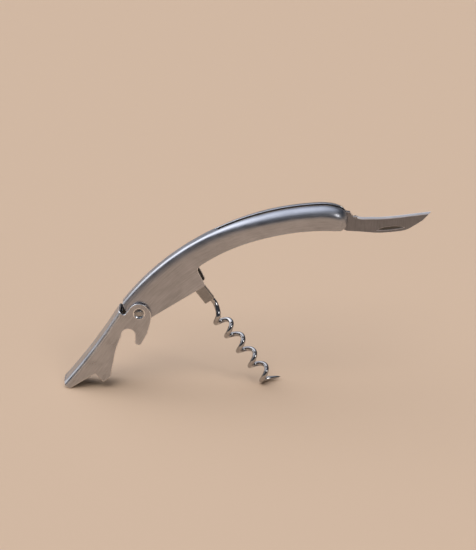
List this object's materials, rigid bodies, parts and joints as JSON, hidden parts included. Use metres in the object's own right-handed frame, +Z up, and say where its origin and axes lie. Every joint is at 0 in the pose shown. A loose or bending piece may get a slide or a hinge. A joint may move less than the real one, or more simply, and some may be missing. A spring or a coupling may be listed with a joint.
{
  "type": "waiter's friend corkscrew",
  "caption": "Waiter's friend corkscrew of folded steel: an arched channel handle with a hinged worm, a bottle-rim lever with an opener hook, and a folding foil knife, all open.",
  "frame": {"origin": "centre of the bounding box's floor; the lever's foot and the worm stand on Z = 0", "axes": "+Z up, +X from the lever towards the knife, +Y across the width, away from the side the picture shows"},
  "size_m": [0.175, 0.015, 0.0924],
  "materials": {
    "satin_steel": "satin brushed along the handle",
    "polished_steel": "bright polished",
    "blade_steel": "fine satin with a ground bevel",
    "pin_steel": "plain"
  },
  "bodies": {
    "handle": {"handle_shell": "satin_steel", "lever_rivet": "polished_steel", "lever_bush": "pin_steel", "lever_washer_near": "pin_steel", "lever_washer_far": "pin_steel", "worm_pin": "pin_steel", "worm_spacer_near": "pin_steel", "worm_spacer_far": "pin_steel", "knife_pin": "pin_steel", "knife_spacer_near": "pin_steel", "knife_spacer_far": "pin_steel", "back_spring": "pin_steel", "spring_pin": "pin_steel", "spring_spacer_near": "pin_steel", "spring_spacer_far": "pin_steel"},
    "lever": {"lever": "satin_steel"},
    "worm": {"worm": "polished_steel"},
    "knife": {"knife": "blade_steel"}
  },
  "joints": [
    {"name": "lever_hinge", "type": "hinge", "parent": "handle", "child": "lever", "pos_m": [-0.0504, 0, 0.03934], "axis": [0, -1, 0], "range_deg": [-4, 153.5]},
    {"name": "worm_hinge", "type": "hinge", "parent": "handle", "child": "worm", "pos_m": [-0.02355, 0, 0.05388], "axis": [0, -1, 0], "range_deg": [-2, 76]},
    {"name": "knife_hinge", "type": "hinge", "parent": "handle", "child": "knife", "pos_m": [0.0433, 0, 0.08619], "axis": [0, -1, 0], "range_deg": [0, 183]}
  ],
  "couplings": [
    {"joint": "worm_hinge", "follows": "lever_hinge", "ratio": 0.495}
  ]
}
